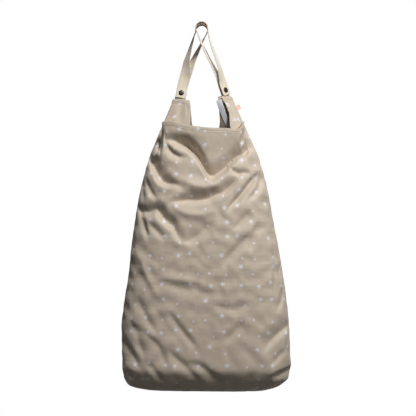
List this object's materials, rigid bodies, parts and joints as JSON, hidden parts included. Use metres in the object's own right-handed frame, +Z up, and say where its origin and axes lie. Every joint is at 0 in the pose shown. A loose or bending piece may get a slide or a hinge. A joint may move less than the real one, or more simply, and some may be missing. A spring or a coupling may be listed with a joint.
{
  "type": "cloth diaper wet bag",
  "caption": "Tall soft pouch of printed laminated cloth for used cloth diapers, filled out and hung by two snap-closed strap loops.",
  "frame": {"origin": "on top of the peg, under the two straps, in the middle between them", "axes": "+Z up, -Y out of the bag's front, +X to the right as seen from the front"},
  "size_m": [0.3975, 0.1503, 0.8597],
  "materials": {
    "printed_cloth": "matte",
    "plain_cloth": "matte",
    "white_tape": "matte",
    "label_ribbon": "satin",
    "dark_snap": "gloss"
  },
  "bodies": {
    "root": {"bag_body": "printed_cloth", "strap_left": "plain_cloth", "strap_right": "plain_cloth", "mouth_tape": "white_tape", "side_tag": "label_ribbon", "snap_cap_front_left": "dark_snap", "snap_cap_front_right": "dark_snap", "snap_core_left": "dark_snap", "snap_core_right": "dark_snap", "snap_cap_back_left": "dark_snap", "snap_cap_back_right": "dark_snap"}
  },
  "joints": []
}
